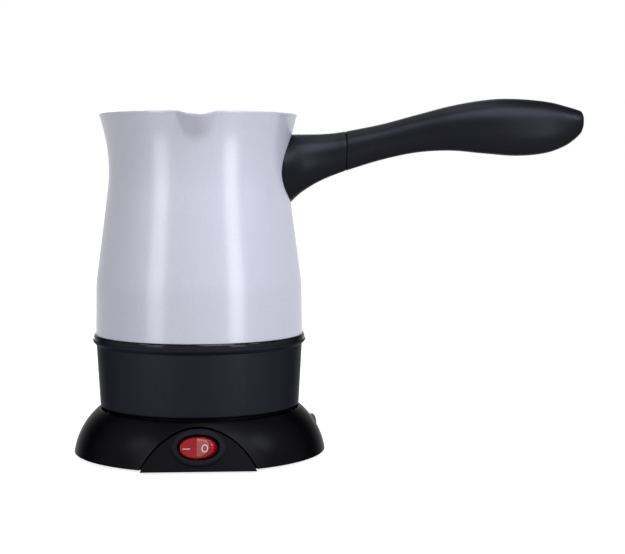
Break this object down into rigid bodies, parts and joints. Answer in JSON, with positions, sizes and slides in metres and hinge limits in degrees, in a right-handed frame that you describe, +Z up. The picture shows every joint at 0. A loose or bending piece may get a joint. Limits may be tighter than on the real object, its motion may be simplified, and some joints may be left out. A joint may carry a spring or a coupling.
{
  "type": "electric turkish coffee maker",
  "caption": "Cordless electric coffee pot: a flared steel jug with a pressed beak, a heated foot and a straight handle, on a round domed power base with a lit rocker switch.",
  "frame": {"origin": "centre of the round base, on the plane that its rubber feet rest on", "axes": "+Z up, the pouring beak and the switch face -Y, the handle points along +X"},
  "size_m": [0.2533, 0.1234, 0.1744],
  "materials": {
    "base_black": "satin black moulded plastic with a fine grain",
    "foot_black": "satin black heat-resistant plastic",
    "handle_black": "satin black moulded plastic with a fine grain",
    "pearl_lilac": "pearl lilac-grey metallic enamel outside, bare steel inside",
    "ring_black": "polished black",
    "foot_rubber": "matte rubber",
    "inlet_rubber": "matte rubber",
    "screw_steel": "zinc-plated steel",
    "bracket_steel": "bare stainless steel",
    "contact_brass": "stamped brass",
    "plug_black": "glass-filled black plastic",
    "socket_cream": "glass-filled cream plastic",
    "bezel_grey": "satin dark grey plastic",
    "rocker_red": "clear red, lit from inside",
    "plunger_cream": "natural nylon",
    "lamp_glass": "clear glass",
    "resistor_tan": "coated ceramic",
    "clamp_black": "black plastic",
    "block_cream": "natural plastic",
    "wire_brown": "brown lead insulation",
    "wire_black": "black lead insulation",
    "wire_blue": "blue lead insulation",
    "wire_green": "green and yellow lead insulation",
    "wire_white": "white heat-resistant lead insulation",
    "seal_red": "silicone rubber",
    "plate_aluminium": "cast aluminium",
    "element_steel": "steel-sheathed tube",
    "thermostat_brown": "phenolic",
    "fuse_ceramic": "ceramic body"
  },
  "bodies": {
    "base": {"base_shell": "base_black", "switch_panel": "base_black", "base_cover": "base_black", "rubber_feet": "foot_rubber", "cover_screws": "screw_steel", "coupler_plug": "plug_black", "plug_screws": "screw_steel", "live_contact": "contact_brass", "neutral_contact": "contact_brass", "earth_contact": "contact_brass", "switch_frame": "bezel_grey", "switch_terminals": "contact_brass", "cord_bushing": "inlet_rubber", "cord_clamp": "clamp_black", "clamp_screws": "screw_steel", "terminal_block": "block_cream", "terminal_screws": "screw_steel", "live_lead": "wire_brown", "switched_lead": "wire_black", "neutral_lead": "wire_blue", "earth_lead": "wire_green", "base_spade_sockets": "contact_brass"},
    "contact_ring": {"neutral_ring": "contact_brass"},
    "jug": {"jug_pot": "pearl_lilac", "trim_ring": "ring_black", "pot_seal": "seal_red", "lower_housing": "foot_black", "housing_screws": "screw_steel", "threaded_posts": "bracket_steel", "heat_plate": "plate_aluminium", "heating_element": "element_steel", "element_terminals": "contact_brass", "thermostat_cap": "plate_aluminium", "thermostat_body": "thermostat_brown", "thermostat_screws": "screw_steel", "thermostat_terminals": "contact_brass", "thermal_fuse": "fuse_ceramic", "fuse_clip": "bracket_steel", "fuse_clip_screw": "screw_steel", "coupler_socket": "socket_cream", "socket_screws": "screw_steel", "live_pin": "contact_brass", "earth_ring": "contact_brass", "socket_tabs": "contact_brass", "jug_live_lead": "wire_white", "jug_fuse_lead": "wire_white", "jug_neutral_lead": "wire_white", "jug_earth_lead": "wire_green", "jug_spade_sockets": "contact_brass", "handle_bracket": "bracket_steel", "handle_neck": "handle_black", "handle_grip": "handle_black", "handle_screw": "screw_steel"},
    "rocker": {"rocker": "rocker_red", "rocker_plunger": "plunger_cream", "rocker_spring": "screw_steel", "neon_lamp": "lamp_glass", "lamp_resistor": "resistor_tan"},
    "blade": {"contact_blade": "contact_brass"}
  },
  "joints": [
    {"name": "jug_lift", "type": "slide", "parent": "base", "child": "contact_ring", "axis": [0, 0, 1], "range_m": [0, 0.07]},
    {"name": "jug_turn", "type": "hinge", "parent": "contact_ring", "child": "jug", "pos_m": [0, 0, 0.025], "axis": [0, 0, 1], "continuous": true},
    {"name": "rocker_tilt", "type": "hinge", "parent": "base", "child": "rocker", "pos_m": [0, -0.05313, 0.00979], "axis": [0, 0.3746, 0.9272], "range_deg": [0, 20]},
    {"name": "blade_rock", "type": "hinge", "parent": "base", "child": "blade", "pos_m": [0, -0.04771, 0.0076], "axis": [0, 0.3746, 0.9272], "range_deg": [-14, 0]}
  ],
  "couplings": [
    {"joint": "blade_rock", "follows": "rocker_tilt", "ratio": -0.7}
  ]
}
